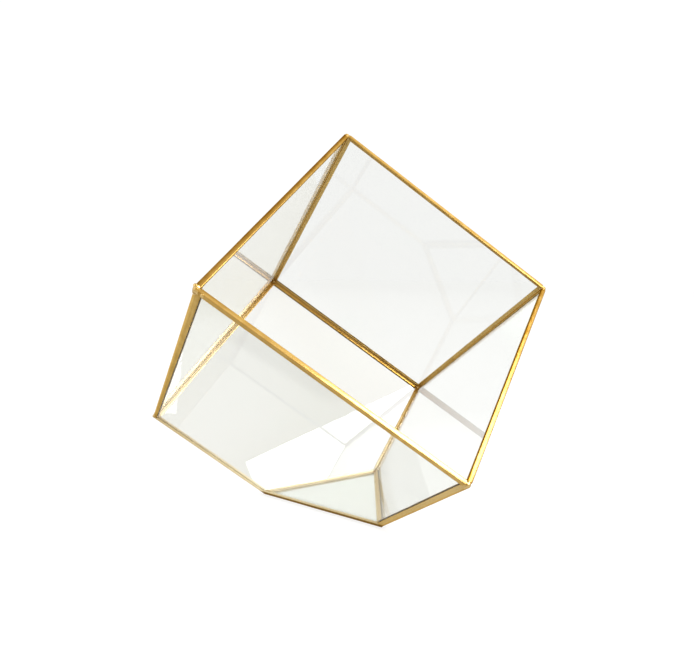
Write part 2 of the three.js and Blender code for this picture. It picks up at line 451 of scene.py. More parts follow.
def section_face(bm, points, steps):
    """One flat face from a section's corner points. Each point is x, y and how far along
    its sides the corner is rounded."""
    verts = [bm.verts.new((x, y, 0)) for x, y, _ in points]
    face = bm.faces.new(verts)
    for vert, (_, _, reach) in zip(verts, points):
        if reach:
            bmesh.ops.bevel(
                bm,
                geom=[vert],
                offset=reach,
                offset_type="OFFSET",
                segments=steps if reach > WIDE_BEND else 2,
                profile=0.5,
                affect="VERTICES",
                material=-1,
            )
    bm.faces.ensure_lookup_table()
    return bm.faces[0]


def widths_of(strip, start):
    """Leaf and lip of a strip where it starts, and how much they grow to its other end."""
    size = sizes()
    leaves, lips = WIDTHS.get(strip[0], ((1, 1), (1, 1)))
    if strip[1] != start:
        leaves, lips = leaves[::-1], lips[::-1]
    leaf, end_leaf = (share * size.outer_leaf for share in leaves)
    lip, end_lip = (share * size.inner_lip for share in lips)
    return leaf, lip, (end_leaf - leaf, end_lip - lip)


def under_walls(point, angle):
    """How deep under each of two walls a point of a section lies, and how far along it."""
    cos, sin = math.cos(angle), math.sin(angle)
    x, y = point.x, point.y
    return (y, x), (x * sin - y * cos, x * cos + y * sin)


def taper(bm, length, angle, leaf, growth):
    """Lets the free edges of the leaves and lips grow or shrink along a strip."""
    wall = sizes().wall
    ways = ((1, 0), (math.cos(angle), math.sin(angle)))
    for vert in bm.verts:
        sides = under_walls(vert.co, angle)
        depth, across = min(sides)
        way = ways[sides.index((depth, across))]
        on_lip = depth > wall / 2
        foot = wall / math.tan(angle / 2) if on_lip else leaf * LEAF_FOOT
        if across > foot + FIXED_FOOT:
            move = growth[on_lip] * vert.co.z / length
            vert.co.x += way[0] * move
            vert.co.y += way[1] * move


def draw_out(bm, face, start, end):
    """Extrudes a section along z and cuts the run into rings."""
    bmesh.ops.translate(bm, verts=face.verts, vec=(0, 0, start))
    out = bmesh.ops.extrude_face_region(bm, geom=[face], use_keep_orig=True)
    far = [item for item in out["geom"] if isinstance(item, bmesh.types.BMVert)]
    bmesh.ops.translate(bm, verts=far, vec=(0, 0, end - start))
    bmesh.ops.recalc_face_normals(bm, faces=bm.faces)
    long_edges = [
        edge for edge in bm.edges if abs(edge.verts[0].co.z - edge.verts[1].co.z) > RING
    ]
    cuts = max(1, round((end - start) / RING))
    bmesh.ops.subdivide_edges(bm, edges=long_edges, cuts=cuts, use_grid_fill=False)


def cut_off(bm, point, normal):
    """Takes off what lies on the side that the normal points to, and closes the cut."""
    geom = bm.verts[:] + bm.edges[:] + bm.faces[:]
    out = bmesh.ops.bisect_plane(
        bm, geom=geom, dist=MERGED, plane_co=point, plane_no=normal, clear_outer=True
    )
    rim = [item for item in out["geom_cut"] if isinstance(item, bmesh.types.BMEdge)]
    rim = [edge for edge in rim if edge.is_boundary]
    if rim:
        bmesh.ops.holes_fill(bm, edges=rim, sides=0)


def flatten_fold(bm, angle, flat, reach):
    """Pushes a fold in towards the middle of its corner, most at the corner line."""
    way = Vector((math.cos(angle / 2), math.sin(angle / 2), 0))
    for vert in bm.verts:
        depth = vert.co.dot(way)
        if depth < reach:
            vert.co += way * flat * (1 - max(depth, 0) / reach)


def wander(bm, seed, fixed, reach):
    """Moves a strip's rings a little, as where hands bent the sheet. What lies beyond
    fixed from the corner line, up to reach, moves most."""
    amount = sizes().unevenness
    for vert in bm.verts:
        z = vert.co.z
        sway = noise.noise_vector(Vector((z * SWAY[0], seed, 0.5))) * SWAY[1]
        ripple = noise.noise_vector(Vector((z * RIPPLE[0], seed + 7.3, 2.5))) * RIPPLE[1]
        vert.co.xy += amount * (sway.xy + ripple.xy)
        out = (vert.co.xy.length - fixed) / reach
        if out > 0:
            side = vert.co.x > vert.co.y
            hem = noise.noise(Vector((z * RAGGED_HEM[0], seed + 31.7, side)))
            vert.co.xy *= 1 + RAGGED_HEM[1] * min(out, 1) * hem


def lay_along(bm, strip, start, length, angle):
    """UV maps. "along" is in metres, along the strip and round its fold. "skin" is in
    metres too: from the sharp corner across a wall, and down into it. The third map has
    the tarnish, which heat deepens near the solder, painted shade on one side of some
    strips, and how far solder ran."""
    near, far = PATINA[strip[0]]
    tin_near, tin_far = TINNED.get(strip[0], (0, 0))
    side_shade = SIDE_SHADE.get(strip[0], (0, 0))
    wall = sizes().wall
    if strip[1] != start:
        near, far = far, near
        tin_near, tin_far = tin_far, tin_near
    along = bm.loops.layers.uv.new("along")
    skin = bm.loops.layers.uv.new("skin")
    age = bm.loops.layers.uv.new("age")
    for face in bm.faces:
        (first, _), (second, _) = under_walls(face.calc_center_median(), angle)
        nearer = int(second < first - FOLD_LINE)
        for loop in face.loops:
            x, y, z = loop.vert.co
            share = z / length
            heat = max(0, 1 - min(z, length - z) / HEATED) ** 2
            depth, across = under_walls(loop.vert.co, angle)[nearer]
            loop[along].uv = (z, x - y)
            loop[skin].uv = (across, depth)
            side = y / wall if strip in RIMS else nearer
            # Painted shade: one side of some strips is made browner, for the darker room
            # that it mirrors
            extra = side_shade[0] + (side_shade[1] - side_shade[0]) * side
            loop[age].uv = (
                near + (far - near) * share + HEAT_TARNISH * heat + extra,
                tin_near + (tin_far - tin_near) * share,
            )


def piece_from(bm, name, material, node):
    """A finished piece that stands for a CAD node and rides on the one body. It is held
    inside the frame's box."""
    low, high = CAD_BOX
    for vert in bm.verts:
        for axis in range(3):
            vert.co[axis] = min(max(vert.co[axis], low[axis]), high[axis])
    bmesh.ops.remove_doubles(bm, verts=bm.verts, dist=MERGED)
    bmesh.ops.recalc_face_normals(bm, faces=bm.faces)
    bmesh.ops.triangulate(bm, faces=[face for face in bm.faces if len(face.verts) > 4])
    piece = mesh_object(bm, name)
    piece.data.materials.append(material)
    piece.data.shade_smooth()
    piece.data.set_sharp_from_angle(angle=SHARP_FROM)
    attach(piece, "root")
    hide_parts(node)


def rim_section():
    """Channel over the free edge of a pane: legs pressed on the glass, a soft back."""
    size = sizes()
    outer, inner, sheet, wall = size.rim_outer, size.rim_inner, size.sheet, size.wall
    web = sheet * 1.1
    crown = 0.00005  # how far the middle of the back stands out
    return (
        (outer, PRESS, HEM),
        (outer, sheet + PRESS, HEM),
        (web, sheet, INSIDE_BEND),
        (web, wall - sheet, INSIDE_BEND),
        (inner, wall - sheet - PRESS, HEM),
        (inner, wall - PRESS, HEM),
        (inner * LEG_PRESSED, wall, 0),
        (crown, wall, CHANNEL_FOLD),
        (0, wall * 0.5, 0),
        (crown, 0, CHANNEL_FOLD),
        (outer * LEG_PRESSED, 0, 0),
    )


def corner_section(angle, leaf, lip, lean):
    """Strip over the corner of two walls: outside leaves, inside lips and a web. It lies
    a little deeper than the channels, whose legs pass over its ends."""
    size = sizes()
    half = angle / 2
    cot = 1 / math.tan(half)
    sheet, wall = size.sheet, size.wall
    inner = wall * cot

    def web_at(depth):
        return (sheet / 2 + depth * math.cos(half)) / math.sin(half)

    def side(share):
        reach, far_lip = leaf * share, inner + lip * share
        leaf_from, lip_from = reach * LEAF_PRESSED, inner + lip * share * LIP_PRESSED
        return [
            (leaf_from, SUNK, 0),
            (reach, PRESS, HEM),
            (reach, sheet + PRESS, HEM),
            (leaf_from, sheet + SUNK, 0),
            (web_at(sheet) + WEB_ROOM, sheet + SUNK, LEAF_BEND),
            (web_at(wall - sheet), wall - sheet, LIP_BEND),
            (lip_from, wall - sheet - SUNK, 0),
            (far_lip, wall - sheet - PRESS, HEM),
            (far_lip, wall - PRESS, HEM),
            (lip_from, wall - SUNK, 0),
        ]

    cos, sin = math.cos(angle), math.sin(angle)
    mirrored = [
        (x * cos + y * sin, x * sin - y * cos, rounding)
        for x, y, rounding in reversed(side(2 - lean))
    ]
    fold = (0, 0, size.fold * cot)
    crease = (inner, wall - SUNK, CREASE)
    return [fold, *side(lean), crease, *mirrored]


def make_rim(strip, material, seed):
    """The channel on one free edge of the mouth."""
    name, a, b, wall = strip
    size = sizes()
    place, a, b = strip_place(a, b, wall)
    length = (corner(b) - corner(a)).length
    setback = size.wall + size.joint_gap
    bm = bmesh.new()
    face = section_face(bm, rim_section(), CHANNEL_STEPS)
    draw_out(bm, face, setback, length - setback)
    wander(bm, seed, size.wall * CHANNEL_STEADY, size.rim_outer)
    lay_along(bm, strip, a, length, math.pi / 2)
    bmesh.ops.transform(bm, matrix=place, verts=bm.verts)
    piece_from(bm, f"{name}_folded", material, name)


def make_corner_strip(strip, material, seed):
    """The strip along one edge, mitred against its neighbours at closed corners."""
    name, a, b, first, second = strip
    size = sizes()
    own_corners = (a, b)
    angle = math.pi - outward(first).angle(outward(second))
    place, a, b = strip_place(a, b, first)
    length = (corner(b) - corner(a)).length
    setback = size.rim_inner * COVERED
    start = setback if a in MOUTH else 0
    end = length - (setback if b in MOUTH else 0)
    bm = bmesh.new()
    leaf, lip, growth = widths_of(strip, a)
    section = corner_section(angle, leaf, lip, LEAN.get(name, 1))
    draw_out(bm, section_face(bm, section, size.fold_steps), start, end)
    taper(bm, length, angle, leaf, growth)
    if name in FLATTENED:
        flatten_fold(bm, angle, *FLATTENED[name])
    wander(bm, seed, size.wall * STRIP_STEADY, size.outer_leaf)
    lay_along(bm, strip, a, length, angle)
    bmesh.ops.transform(bm, matrix=place, verts=bm.verts)
    for here in own_corners:
        if here in MOUTH:
            continue
        directions = edges_from(here)
        own = directions.pop(name)
        for other in directions.values():
            away = (other - own).normalized()
            cut_off(bm, corner(here) - away * size.joint_gap * MITRE_GAP, away)
    piece_from(bm, f"{name}_folded", material, name)


# Solder

# A bead: radius of its middle, and how far out its arms along the strips lie, with their
# radius and stretch
MOUTH_BEAD = (0.00160, 0.0013, 0.00150, 1.45)
CLOSED_BEAD = (0.00140, 0.0016, 0.00125, 1.9)
INSIDE_BEAD = (0.00080, 0.0008, 0.00042, 2.6)
# How deep under the walls their middles lie, the last one under the walls' insides
MOUTH_DEPTH, CLOSED_DEPTH, INSIDE_DEPTH = 0.00145, 0.00150, 0.00025
# How far solder stands out of the walls, and where it does so less
MOUTH_PROUD, CLOSED_PROUD = 0.00010, 0.00012
LESS_PROUD = {"mouth": 0.00003, "base": 0.0}
# Round drops on a bead: how far along each of the corner's three strips, and the radius
DROPS = {"left": (((0.0004, 0.0052, 0.0008), 0.0010), ((0.0022, 0.0004, 0.0005), 0.0011))}
SOLDER_GRAIN = 0.00017  # size of the cells that join the parts of a bead
SMOOTH_STEPS = 3
DENTS = (900, 0.00006)  # in a bead's skin: waves in a metre, and depth


def at_depth(name, depth, walls):
    """The point at one depth under three walls of a corner."""
    rows = Matrix([outward(wall) for wall in walls])
    return corner(name) + rows.inverted() @ Vector((-depth, -depth, -depth))


def blob(bm, centre, radius, along=None, stretch=1.0):
    """A round lump, drawn out along a direction."""
    out = bmesh.ops.create_icosphere(bm, subdivisions=3, radius=radius)
    turn = Matrix.Identity(4)
    if along is not None:
        turn = along.to_track_quat("Z", "Y").to_matrix().to_4x4()
        bmesh.ops.scale(bm, vec=(1, 1, stretch), verts=out["verts"])
    bmesh.ops.transform(bm, matrix=Matrix.Translation(centre) @ turn, verts=out["verts"])


def bead(bm, middle, directions, shape):
    """A round middle with an arm along each strip."""
    radius, out, arm_radius, stretch = shape
    blob(bm, middle, radius)
    for along in directions:
        blob(bm, middle + along * out, arm_radius, along, stretch)


def flow_together(bm, name):
    """Joins overlapping lumps to one skin, as solder that ran together."""
    lumps = mesh_object(bm, f"{name}_lumps")
    join = lumps.modifiers.new("join", "REMESH")
    join.mode = "VOXEL"
    join.voxel_size = SOLDER_GRAIN
    relax = lumps.modifiers.new("relax", "SMOOTH")
    relax.factor = 0.5
    relax.iterations = SMOOTH_STEPS
    one_skin = lumps.evaluated_get(bpy.context.evaluated_depsgraph_get())
    joined = bmesh.new()
    joined.from_mesh(one_skin.to_mesh())
    one_skin.to_mesh_clear()
    bpy.data.meshes.remove(lumps.data)  # the object goes with its mesh
    return joined


def press_flat(bm, name, walls):
    """Keeps solder from standing far out of the walls."""
    origin = corner(name)
    proud = MOUTH_PROUD if name in MOUTH else CLOSED_PROUD
    for wall in walls:
        normal = outward(wall)
        for vert in bm.verts:
            over = (vert.co - origin).dot(normal) - LESS_PROUD.get(wall, proud)
            if over > 0:
                vert.co -= normal * over


def make_solder(name, material, seed):
    """The bead that joins the strips of one corner."""
    walls = walls_at(name)
    directions = list(edges_from(name).values())
    bm = bmesh.new()
    if name in MOUTH:
        bead(bm, at_depth(name, MOUTH_DEPTH, walls), directions, MOUTH_BEAD)
    else:
        bead(bm, at_depth(name, CLOSED_DEPTH, walls), directions, CLOSED_BEAD)
        inside = at_depth(name, sizes().wall + INSIDE_DEPTH, walls)
        bead(bm, inside, directions, INSIDE_BEAD)
    for shares, radius in DROPS.get(name, ()):
        steps = (way * share for way, share in zip(directions, shares))
        blob(bm, sum(steps, corner(name)), radius)
    bm = flow_together(bm, name)
    for vert in bm.verts:
        dent = noise.noise_vector(vert.co * DENTS[0] + Vector((seed, 0, 0)))
        vert.co += dent * DENTS[1]
    if name not in DROPS:
        press_flat(bm, name, walls)
    piece_from(bm, f"solder_{name}_bead", material, f"solder_{name}")


# Shader maths


MOST_BOUNCES = 16  # light never glances off more surfaces than this


class Number:
    """A number socket that takes part in Python arithmetic."""

    def __init__(self, finish, socket):
        self.finish = finish
        self.socket = socket

    def _math(self, operation, first, second=None):
        values = {0: first} if second is None else {0: first, 1: second}
        node = self.finish.node("ShaderNodeMath", {"operation": operation}, values)
        return Number(self.finish, node.outputs[0])

    def __add__(self, other):
        return self._math("ADD", self, other)

    def __radd__(self, other):
        return self._math("ADD", other, self)

    def __sub__(self, other):
        return self._math("SUBTRACT", self, other)

    def __rsub__(self, other):
        return self._math("SUBTRACT", other, self)

    def __mul__(self, other):
        return self._math("MULTIPLY", self, other)

    def __rmul__(self, other):
        return self._math("MULTIPLY", other, self)

    def __abs__(self):
        return self._math("ABSOLUTE", self)

    def clamped(self):
        """Held between 0 and 1."""
        node = self.finish.node("ShaderNodeClamp", {}, {"Value": self})
        return Number(self.finish, node.outputs[0])

    def ramp(self, low, high):
        """0 at low and 1 at high, smoothly between."""
        node = self.finish.node(
            "ShaderNodeMapRange",
            {"interpolation_type": "SMOOTHSTEP"},
            {"Value": self, "From Min": low, "From Max": high},
        )
        return Number(self.finish, node.outputs[0])


class Finish:
    """A node tree under construction: a material's or the world's."""

    def __init__(self, owner):
        owner.use_nodes = True
        self.owner = owner
        self.tree = owner.node_tree
        self.tree.nodes.clear()

    def node(self, kind, settings=None, sockets=None):
        """A node of a type: first its settings, then its sockets' values or links."""
        node = self.tree.nodes.new(kind)
        for key, value in (settings or {}).items():
            setattr(node, key, value)
        for key, value in (sockets or {}).items():
            self.fill(node.inputs[key], value)
        return node

    def fill(self, socket, value):
        """Links a socket to another's result, or gives it a value."""
        if isinstance(value, Number):
            value = value.socket
        if isinstance(value, bpy.types.Node):
            value = value.outputs[0]
        if isinstance(value, bpy.types.NodeSocket):
            self.tree.links.new(value, socket)
        else:
            socket.default_value = value

    def number(self, node, output=0):
        return Number(self, node.outputs[output])

    def colour_mix(self, share, first, second):
        """Mixes two colours by a share."""
        node = self.node("ShaderNodeMix", {"data_type": "RGBA"}, {0: share})
        for index, value in ((6, first), (7, second)):
            linked = isinstance(value, bpy.types.NodeSocket)
            self.fill(node.inputs[index], value if linked else (*value, 1))
        return node.outputs[2]

    def coordinates(self, output):
        return self.node("ShaderNodeTexCoord").outputs[output]

    def uv(self, name, scale=None):
        """A piece's own UV map, stretched or as it is."""
        source = self.node("ShaderNodeUVMap", {"uv_map": name})
        if scale is not None:
            source = self.node("ShaderNodeMapping", {}, {"Vector": source, "Scale": scale})
        return source.outputs[0]

    def parts(self, vector):
        """A vector's three numbers."""
        split = self.node("ShaderNodeSeparateXYZ", {}, {0: vector})
        return [self.number(split, index) for index in range(3)]

    def noise(self, vector, scale, detail=2.0, roughness=0.5, distortion=0.0):
        """Noise of so many waves in a unit of the vector."""
        values = {
            "Vector": vector,
            "Scale": scale,
            "Detail": detail,
            "Roughness": roughness,
            "Distortion": distortion,
        }
        return self.number(self.node("ShaderNodeTexNoise", {}, values))

    def between(self, operation, first, second):
        """The number that two vectors give: their DISTANCE or DOT_PRODUCT."""
        settings = {"operation": operation}
        node = self.node("ShaderNodeVectorMath", settings, {0: first, 1: second})
        return self.number(node, "Value")

    def relief(self, strength, distance, height, over=None):
        """A bump, by itself or over another one."""
        values = {"Strength": strength, "Distance": distance, "Height": height}
        if over is not None:
            values["Normal"] = over
        return self.node("ShaderNodeBump", {}, values)

    def mixed(self, share, first, second):
        """Two shaders mixed by a share."""
        return self.node("ShaderNodeMixShader", {}, {0: share, 1: first, 2: second})

    def mirrored(self):
        """1 where metal or glass mirrors the studio to the eye, and 0 elsewhere."""
        rays = self.node("ShaderNodeLightPath")
        glossy = self.number(rays, "Glossy Depth")
        diffuse = self.number(rays, "Diffuse Depth")
        return (glossy - diffuse * MOST_BOUNCES).clamped()

    def output(self, shader):
        """Ends the tree with a shader, and gives its owner back."""
        in_world = isinstance(self.owner, bpy.types.World)
        kind = "ShaderNodeOutputWorld" if in_world else "ShaderNodeOutputMaterial"
        self.node(kind, {}, {"Surface": shader})
        return self.owner


# Finishes


# Waves in a metre along a strip and round its fold
STREAK_WAVES = (34, 900, 1)
DRAW_WAVES = (12, 2400, 1)
# Heights over the table, and depths in the strip, between which its painted contact shade
# ends
CONTACT_SHADE_HEIGHT = (0.0017, 0.0034)
CONTACT_SHADE_DEPTH = (0.0002, 0.0003)
# Where solder begins to cover a leaf, from the sharp corner, and the strip's inside
RUN_ACROSS = (0.0016, 0.0024)
RUN_DEPTH = (0.0010, 0.0016)
# What brass keeps of the light that glances off it
GLANCE_TINT = (0.90, 0.74, 0.48, 1)


def brass_finish():
    """Folded strip: burnished along its length, darker in streaks and near the solder, and
    paler where solder ran over its leaves. Painted shade makes its folds near-black where
    they rest on the table, and one side of some strips browner."""
    colours = finish_colours()
    finish = Finish(bpy.data.materials.new("folded_brass"))
    place = finish.coordinates("Object")
    streak = finish.noise(finish.uv("along", STREAK_WAVES), 1.0, 3.0, 0.6)
    draw = finish.noise(finish.uv("along", DRAW_WAVES), 1.0, 2.0, 0.5)
    mottle = finish.noise(place, 170, 4.0, 0.62, 0.4)
    fleck = finish.noise(place, 1500, 2.0, 0.5)
    patina_and_side_shade, tinned = finish.parts(finish.uv("age"))[:2]
    across, depth = finish.parts(finish.uv("skin"))[:2]
    height = finish.parts(place)[2]

    dull = (streak * 0.5 + mottle * 0.7 - 0.40).ramp(-0.10, 0.50)
    spots = fleck.ramp(0.66, 0.80)
    # Painted shade: the folds low by the table go near-black, as in the shade under them
    foot = (1 - height.ramp(*CONTACT_SHADE_HEIGHT)) * (1 - depth.ramp(*CONTACT_SHADE_DEPTH))
    # The tarnish here carries painted shade too, on one side of some strips
    tarnish = patina_and_side_shade + (dull - 0.45) * 0.55 + spots * 0.12
    brass = finish.colour_mix(tarnish.clamped(), colours.brass, colours.tarnish)
    brass = finish.colour_mix(foot * 0.9, brass, colours.painted_contact_shade)

    run = (across + mottle * 0.0010).ramp(*RUN_ACROSS) + depth.ramp(*RUN_DEPTH)
    tin = (run.clamped() * tinned * (0.55 + mottle) * (1 - foot)).clamped()
    streaked = finish.relief(0.30, 0.00004, streak * 0.8 + draw * 0.2)
    values = {
        "Base Color": finish.colour_mix(tin, brass, colours.tin),
        "Metallic": 1.0 - tin * 0.55,
        "Specular Tint": GLANCE_TINT,
        "Roughness": 0.15 + draw * 0.08 + dull * 0.08 + tin * 0.17,
        "Normal": finish.relief(0.5, 0.0004, finish.noise(place, 95, 1.0), streaked),
    }
    return finish.output(finish.node("ShaderNodeBsdfPrincipled", {}, values))


def solder_finish():
    """Solder that froze smooth, with a dull skin in places."""
    colours = finish_colours()
    finish = Finish(bpy.data.materials.new("brass_solder"))
    place = finish.coordinates("Object")
    skin = finish.noise(place, 650, 3.0, 0.55)
    grain = finish.noise(place, 3200, 2.0, 0.6)
    dull = skin.ramp(0.40, 0.68)
    values = {
        "Base Color": finish.colour_mix(dull * 0.6, colours.solder, colours.tarnish),
        "Metallic": 1.0,
        "Roughness": 0.20 + dull * 0.22,
        "Normal": finish.relief(0.4, 0.0001, skin * 0.8 + grain * 0.2),
    }
    return finish.output(finish.node("ShaderNodeBsdfPrincipled", {}, values))


SMUDGE_TINT = (0.975, 0.995, 0.985)


def glass_finish():
    """Clear sheet glass with the faintest smudges. It throws no shadow on the floor."""
    finish = Finish(bpy.data.materials.new("sheet_glass"))
    place = finish.coordinates("Object")
    smudge = finish.noise(place, 16, 3.0, 0.55, 0.6).ramp(0.52, 0.78)
    clear = tuple(finish_colours().glass)
    smudged = tuple(channel * tint for channel, tint in zip(clear, SMUDGE_TINT))
    values = {
        "Base Color": finish.colour_mix(smudge * 0.5, clear, smudged),
        "Metallic": 0.0,
        "Roughness": 0.004 + smudge * 0.02,
        "IOR": 1.5,
        "Transmission Weight": 1.0,
        "Normal": finish.relief(0.05, 0.0006, finish.noise(place, 14, 1.0)),
    }
    glass = finish.node("ShaderNodeBsdfPrincipled", {}, values)
    open_air = finish.node("ShaderNodeBsdfTransparent", {}, {"Color": (1, 1, 1, 1)})
    rays = finish.node("ShaderNodeLightPath")
    shadow = finish.number(rays, "Is Shadow Ray")
    lighting = (shadow + finish.number(rays, "Diffuse Depth")).clamped()
    return finish.output(finish.mixed(lighting, glass, open_air))


# What the metal and the glass mirror of the floor
TABLE_TONE = (1.01, 0.99, 0.92)
# The gleam on it behind the terrarium: its tone, where it begins, the x over y of its right
# side and half the width in which that side fades
GLEAM_TONE = (1.29, 1.29, 1.27)
GLEAM_FROM = (0.12, 0.20)
GLEAM_SIDE = 0.38
GLEAM_FADE = 0.03
# The shade of the left rim on it: the direction square to its line, that line's offset, how
# far from the line it fades, the x between which it lies, its tone and its depth
SHADE_ACROSS = (0.6516, 0.7586)
SHADE_OFFSET = -0.0891
SHADE_FADES = (0.002, 0.011)
SHADE_STARTS = (-0.175, -0.150)
SHADE_ENDS = (-0.095, -0.070)
SHADE_TONE = (0.40, 0.38, 0.34)
SHADE_DEPTH = 0.8
# How much of the floor's brightness is its own glow, and how bright that is
GLOW_SHARE = 0.7
GLOW = (1.12, 1.12, 1.12)
# Far off, between these distances, it comes to glow as the backdrop does
FAR_GLOW = (1.04, 1.04, 1.04)
GLOW_FADES = (0.8, 5.0)
CLOUD_TINT = 0.99  # and how much darker its faint clouds are


def floor_finish():
    """Pale matt floor that glows a little, as a light table does, so that shadows stay
    faint on it."""
    finish = Finish(bpy.data.materials.new("pale_floor"))
    place = finish.coordinates("Object")
    cloud = finish.noise(place, 3.0, 2.0).ramp(0.3, 0.7)
    pale = tuple(studio().floor)
    clouded = tuple(channel * CLOUD_TINT for channel in pale)
    values = {
        "Base Color": finish.colour_mix(cloud, pale, clouded),
        "Roughness": 0.9,
        "Specular IOR Level": 0.1,
    }
    matt = finish.node("ShaderNodeBsdfPrincipled", {}, values)
    far = finish.between("DISTANCE", place, (0, 0, 0)).ramp(*GLOW_FADES)
    glowing = finish.colour_mix(far, GLOW, FAR_GLOW)
    glow = finish.node("ShaderNodeEmission", {}, {"Color": glowing})
    lit = finish.mixed(GLOW_SHARE, matt, glow)

    x, y, _ = finish.parts(place)
    past = x * SHADE_ACROSS[0] + y * SHADE_ACROSS[1] - SHADE_OFFSET
    shade = (1 - abs(past).ramp(*SHADE_FADES)) * x.ramp(*SHADE_STARTS)
    shade = shade * (1 - x.ramp(*SHADE_ENDS)) * SHADE_DEPTH
    left = 1 - (x - y * GLEAM_SIDE).ramp(-GLEAM_FADE, GLEAM_FADE)
    tone = finish.colour_mix(y.ramp(*GLEAM_FROM) * left, TABLE_TONE, GLEAM_TONE)
    tone = finish.colour_mix(shade, tone, SHADE_TONE)
    table = finish.node("ShaderNodeEmission", {}, {"Color": tone})
    return finish.output(finish.mixed(finish.mirrored(), lit, table))


# Operators


CUBE_TOLERANCE = 0.0015


def check_cube():
    """Stops the work if the cube of the settings isn't the frame's."""
    corners = [corner(name) for name in CORNER_SHARES]
    for axis in range(3):
        places = [point[axis] for point in corners]
        for found, wanted in zip((min(places), max(places)), CAD_BOX):
            if abs(found - wanted[axis]) > CUBE_TOLERANCE:
                raise RuntimeError(f"cube and frame differ on axis {axis}: {found}")


class TERRARIUM_OT_panes(bpy.types.Operator):
    """Give the six panes their glass"""

    bl_idname = "terrarium.panes"
    bl_label = "Glass panes"

    def execute(self, context):
        glass = glass_finish()
        for name in PANES:
            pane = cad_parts[name]
            if not pane.material_slots:
                raise RuntimeError(f"{name} has no material slot")
            for slot in pane.material_slots:
                slot.material = glass
        return {"FINISHED"}


class TERRARIUM_OT_rims(bpy.types.Operator):
    """Fold the four channels round the mouth"""

    bl_idname = "terrarium.rims"
    bl_label = "Mouth channels"

    def execute(self, context):
        check_cube()
        noise.seed_set(NOISE_SEED)
        brass = bpy.data.materials.get("folded_brass") or brass_finish()
        for index, strip in enumerate(RIMS):
            make_rim(strip, brass, RIM_NOISE[0] + RIM_NOISE[1] * index)
        return {"FINISHED"}


class TERRARIUM_OT_corner_strips(bpy.types.Operator):
    """Fold the eleven strips that join two panes"""

    bl_idname = "terrarium.corner_strips"
    bl_label = "Corner strips"

    def execute(self, context):
        check_cube()
        noise.seed_set(NOISE_SEED)
        brass = bpy.data.materials.get("folded_brass") or brass_finish()
        for index, strip in enumerate(CORNER_STRIPS):
            make_corner_strip(strip, brass, STRIP_NOISE[0] + STRIP_NOISE[1] * index)
        return {"FINISHED"}


class TERRARIUM_OT_solder(bpy.types.Operator):
    """Flow the ten beads of solder at the corners"""

    bl_idname = "terrarium.solder"
    bl_label = "Solder beads"

    def execute(self, context):
        check_cube()
        noise.seed_set(NOISE_SEED)
        solder = solder_finish()
        for index, name in enumerate(CORNER_SHARES):
            make_solder(name, solder, BEAD_NOISE[0] + BEAD_NOISE[1] * index)
        return {"FINISHED"}


# Studio

# Camera, fitted to the borders of the strips in the photograph: its turn is in degrees
CAMERA_AT = (-0.16186, -0.29954, 0.14634)
CAMERA_TURN = (78.767, -1.036, -28.644)
CAMERA_LENS = 28.6375
CAMERA_SENSOR = 36
CAMERA_SHIFT = 0.07125
# The lamp over the floor: azimuth, elevation, distance and size
LAMP_PLACE = (150, 78, 0.85)
LAMP_SIZE = 0.7
FLOOR_REACH = 6.0


def direction(azimuth, elevation):
    """A unit vector: azimuth 0 is towards the front, and 90 to the right."""
    a, e = math.radians(azimuth), math.radians(elevation)
    return Vector((math.sin(a) * math.cos(e), -math.cos(a) * math.cos(e), math.sin(e)))


def area_light(name, shape, place):
    """A flat light that the eye doesn't see."""
    lamp = bpy.data.lights.new(name, "AREA")
    lamp.shape = shape
    holder = add_object(name, lamp)
    holder.matrix_world = place
    holder.visible_camera = False
    return lamp, holder


def broad_lamp():
    """A ceiling panel that lights the floor only: the metal sees the studio instead."""
    azimuth, elevation, distance = LAMP_PLACE
    towards = direction(azimuth, elevation)
    turn = towards.to_track_quat("Z", "Y").to_matrix().to_4x4()
    place = Matrix.Translation(towards * distance) @ turn
    lamp, holder = area_light("broad_lamp", "DISK", place)
    lamp.size = LAMP_SIZE
    lamp.energy = studio().lamp
    holder.visible_glossy = False
    holder.visible_transmission = False


# What the metal and the glass mirror of the room: azimuth, elevation, degrees to the edge
# of the full tone, degrees to its end, and the tone
ROOM_TONE = (0.93, 0.72, 0.26)
ROOM_PATCHES = (
    (-90, 35, 20, 60, (1.6, 1.6, 1.6)),
    (152, 8, 24, 60, (1.08, 1.08, 1.08)),
    (20, 58, 4, 16, (1.7, 1.6, 1.4)),
    (154, 24, 8, 16, (1.65, 1.85, 1.65)),
    (168, 4, 6, 14, (1.22, 1.22, 1.22)),
    (179, 2, 5, 13, (1.75, 1.75, 1.75)),
    (76, 48, 6, 22, (2.0, 1.9, 1.6)),
)
# The square light that they mirror. Its frame stands square to a direction, at a distance
# from a point over the floor: the light's middle in it, turn, width, height and brightness
LIGHT_FRAME = (40, 40, 0.85, 0.08)
LIGHT_MIDDLE = (-0.0005, -0.0720)
LIGHT_TURN = -13.3
LIGHT_SIZE = (0.44, 0.30)
LIGHT_BRIGHT = 9.8


def square_light():
    """The softbox that the metal and the glass mirror. The floor doesn't see it."""
    azimuth, elevation, distance, height = LIGHT_FRAME
    towards = direction(azimuth, elevation)
    sideways = direction(azimuth + 90, 0)
    upward = sideways.cross(towards)
    if upward.z < 0:
        upward = -upward
    middle = Vector((0, 0, height)) + towards * distance
    middle += sideways * LIGHT_MIDDLE[0] + upward * LIGHT_MIDDLE[1]
    turn = math.radians(LIGHT_TURN)
    across = sideways * math.cos(turn) + upward * math.sin(turn)
    place = Matrix((across, towards.cross(across), towards)).transposed().to_4x4()
    place.translation = middle
    lamp, holder = area_light("square_light", "RECTANGLE", place)
    lamp.size, lamp.size_y = LIGHT_SIZE
    lamp.energy = LIGHT_BRIGHT * math.pi * lamp.size * lamp.size_y
    holder.visible_diffuse = False


